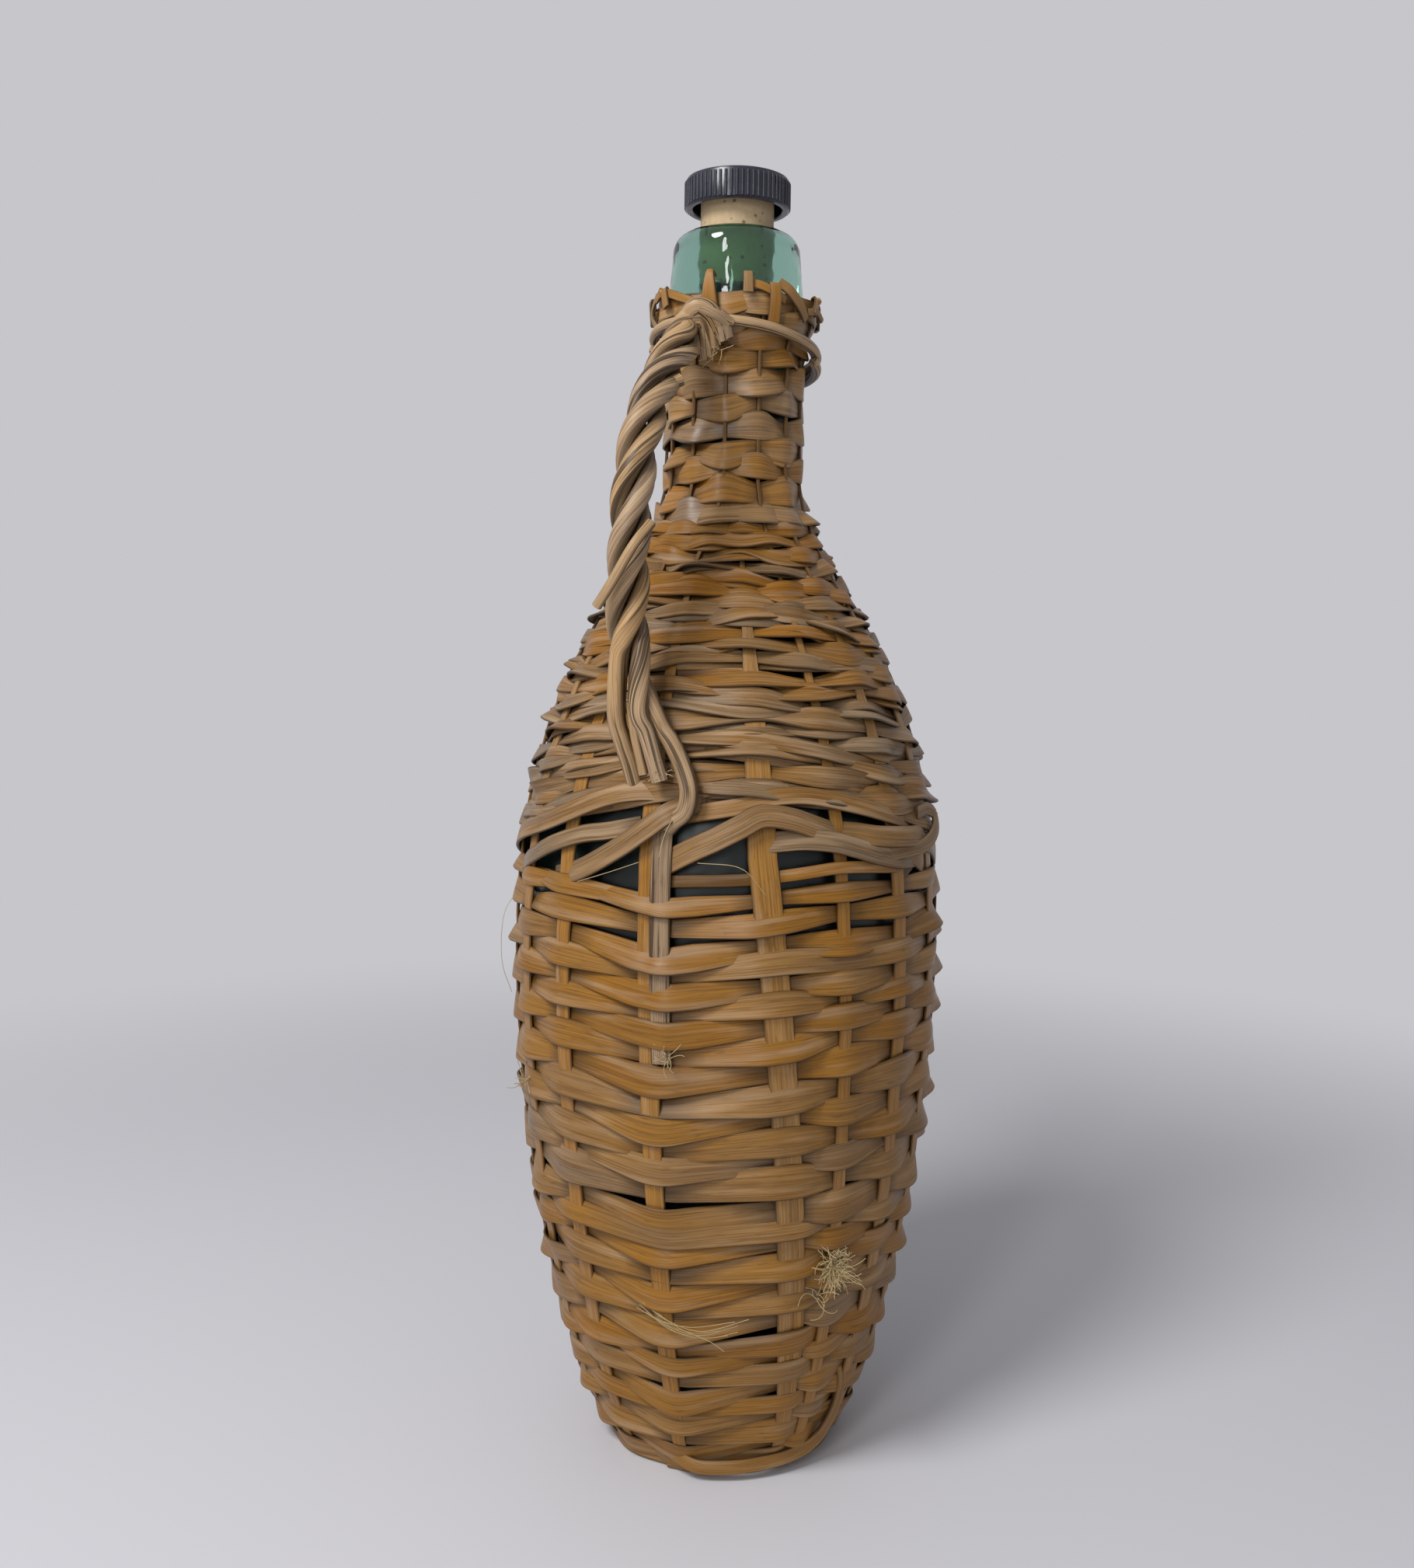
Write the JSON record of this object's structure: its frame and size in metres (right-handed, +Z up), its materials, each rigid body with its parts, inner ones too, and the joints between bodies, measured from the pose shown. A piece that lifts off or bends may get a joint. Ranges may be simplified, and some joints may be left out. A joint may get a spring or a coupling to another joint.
{
  "type": "cane-wrapped glass bottle",
  "caption": "Round long-necked glass bottle in a woven split-cane jacket, with a twisted cane handle from neck to waist and a pull-out cork stopper under a ribbed head.",
  "frame": {"origin": "centre of the base on the surface that the bottle stands on", "axes": "+Z up along the bottle's axis; the handle is on the -Y side"},
  "size_m": [0.1151, 0.1231, 0.3351],
  "materials": {
    "green_glass": "clear blue-green bottle glass, glossy",
    "cork": "bare cork, pitted",
    "black_plastic": "moulded, ribbed round the edge",
    "stake_cane": "split cane, honey brown, satin",
    "woven_cane": "split cane, aged, satin",
    "handle_cane": "whole cane, weathered, matt"
  },
  "bodies": {
    "bottle": {"base_mat": "woven_cane", "glass_bottle": "green_glass", "handle_strand_a": "handle_cane", "handle_strand_b": "handle_cane", "handle_strand_c": "handle_cane", "handle_tail": "handle_cane", "lower_weaver_01": "woven_cane", "lower_weaver_02": "woven_cane", "lower_weaver_03": "woven_cane", "lower_weaver_04": "woven_cane", "lower_weaver_05": "woven_cane", "lower_weaver_06": "woven_cane", "lower_weaver_07": "woven_cane", "lower_weaver_08": "woven_cane", "lower_weaver_09": "woven_cane", "neck_loop": "handle_cane", "neck_weaver_01": "woven_cane", "neck_weaver_02": "woven_cane", "neck_weaver_03": "woven_cane", "neck_weaver_04": "woven_cane", "stake_01": "stake_cane", "stake_02": "stake_cane", "stake_03": "stake_cane", "stake_04": "stake_cane", "stake_05": "stake_cane", "stake_06": "stake_cane", "stake_07": "stake_cane", "stake_08": "stake_cane", "stake_09": "stake_cane", "stake_10": "stake_cane", "stake_11": "stake_cane", "stake_12": "stake_cane", "stake_13": "stake_cane", "stake_14": "stake_cane", "stake_15": "stake_cane", "stake_16": "stake_cane", "stake_17": "stake_cane", "upper_weaver_01": "woven_cane", "upper_weaver_02": "woven_cane", "upper_weaver_03": "woven_cane", "upper_weaver_04": "woven_cane", "upper_weaver_05": "woven_cane", "upper_weaver_06": "woven_cane", "waist_cane_a": "woven_cane", "waist_cane_b": "woven_cane"},
    "stopper": {"cork_shank": "cork", "stopper_head": "black_plastic"}
  },
  "joints": [
    {"name": "stopper_lift", "type": "slide", "parent": "bottle", "child": "stopper", "axis": [0, 0, 1], "range_m": [-0.006, 0.02]}
  ]
}
